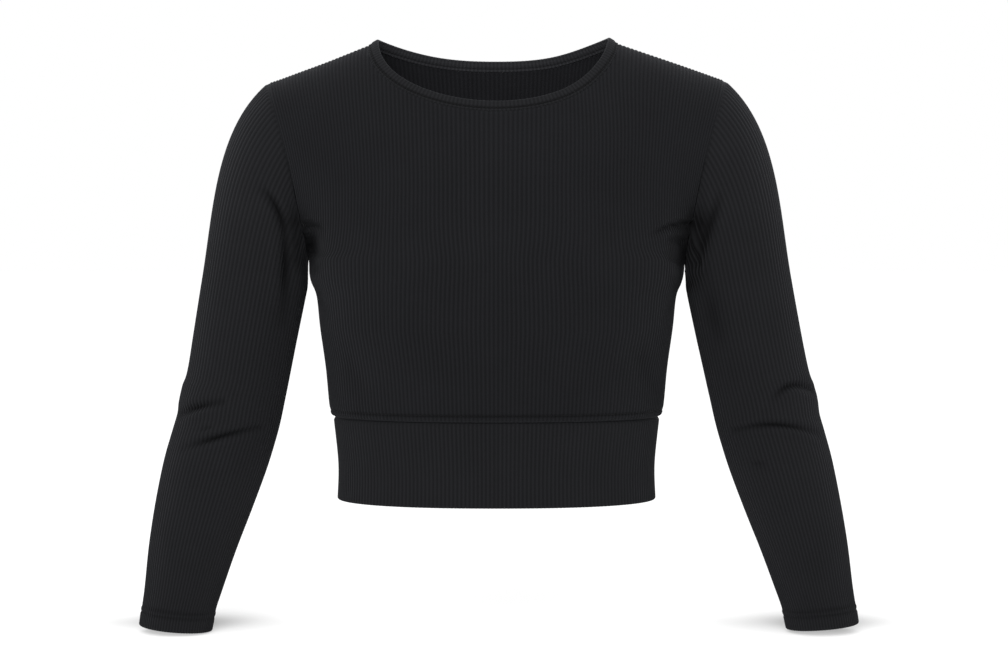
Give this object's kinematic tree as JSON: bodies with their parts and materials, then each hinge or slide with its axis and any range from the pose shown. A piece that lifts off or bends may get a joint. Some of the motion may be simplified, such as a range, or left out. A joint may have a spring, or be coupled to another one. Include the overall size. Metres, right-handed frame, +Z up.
{
  "type": "long-sleeve crop top",
  "caption": "Cropped rib-knit top with long fitted sleeves, a wide round neckline with narrow binding and a deep fitted waistband, open and hollow in its worn form.",
  "frame": {"origin": "on the centre line, midway between the middles of the two shoulder seams, at the inside of the cloth, where the wearer's shoulders hold the top up", "axes": "+X towards the wearer's left sleeve, -Y out of the front, +Z up"},
  "size_m": [0.6254, 0.2307, 0.5139],
  "materials": {
    "rib_knit": "black cotton rib knit, matt",
    "folded_knit": "the same black rib knit, folded double, matt"
  },
  "bodies": {
    "root": {"front": "rib_knit", "back": "rib_knit", "right_sleeve": "rib_knit", "left_sleeve": "rib_knit", "neck_binding": "folded_knit", "waistband": "folded_knit"}
  },
  "joints": []
}
